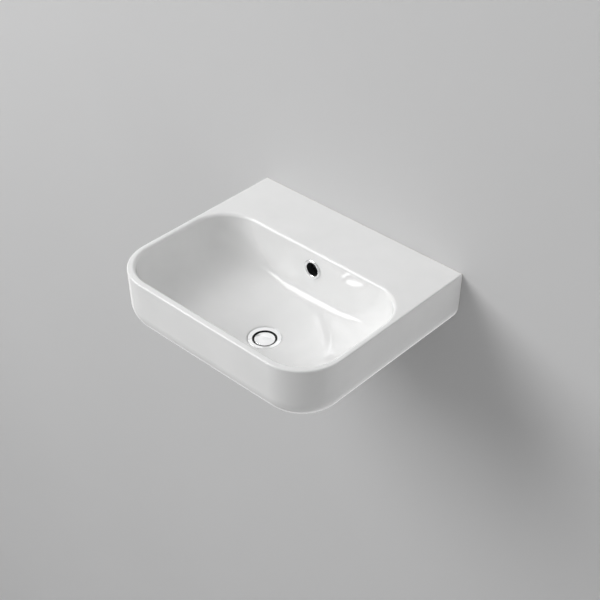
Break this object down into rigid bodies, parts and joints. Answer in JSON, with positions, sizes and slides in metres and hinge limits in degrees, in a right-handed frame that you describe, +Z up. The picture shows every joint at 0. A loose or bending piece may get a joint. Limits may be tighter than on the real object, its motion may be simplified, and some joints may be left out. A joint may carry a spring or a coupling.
{
  "type": "wall-hung basin",
  "caption": "Wall-hung ceramic basin: rounded rectangular bowl behind a thin rim, flat rear deck, overflow, push-to-open waste and concealed wall fixings.",
  "frame": {"origin": "on the wall, midway between the two fixing studs", "axes": "+Z up, +Y into the wall, +X to the right of someone standing at the basin"},
  "size_m": [0.4998, 0.4849, 0.2188],
  "materials": {
    "glaze": "gloss white glaze",
    "chrome": "polished chrome plate",
    "black_rubber": "matt moulded rubber",
    "white_plastic": "moulded acetal",
    "cap_plastic": "gloss moulded plastic",
    "brass": "turned brass",
    "zinc_steel": "bright zinc plate",
    "spring_steel": "stainless spring wire"
  },
  "bodies": {
    "basin": {"basin_body": "glaze", "overflow_ring": "chrome", "waste_body": "chrome", "flange_seal": "black_rubber", "lower_seal": "black_rubber", "slip_washer": "white_plastic", "back_nut": "brass", "cartridge_housing": "white_plastic", "cartridge_bush": "white_plastic", "cartridge_latch": "white_plastic", "cartridge_spring": "spring_steel", "lock_nut": "brass", "left_fixing_stud": "zinc_steel", "left_fixing_sleeve": "white_plastic", "left_fixing_washer": "zinc_steel", "left_fixing_nut": "zinc_steel", "left_nut_cap": "cap_plastic", "right_fixing_stud": "zinc_steel", "right_fixing_sleeve": "white_plastic", "right_fixing_washer": "zinc_steel", "right_fixing_nut": "zinc_steel", "right_nut_cap": "cap_plastic"},
    "plug": {"plug_cap": "chrome", "plug_seal": "black_rubber", "cartridge_stem": "brass"}
  },
  "joints": [
    {"name": "plug_slide", "type": "slide", "parent": "basin", "child": "plug", "axis": [0, 0, 1], "range_m": [0, 0.008], "deforming": ["cartridge_spring"]}
  ]
}
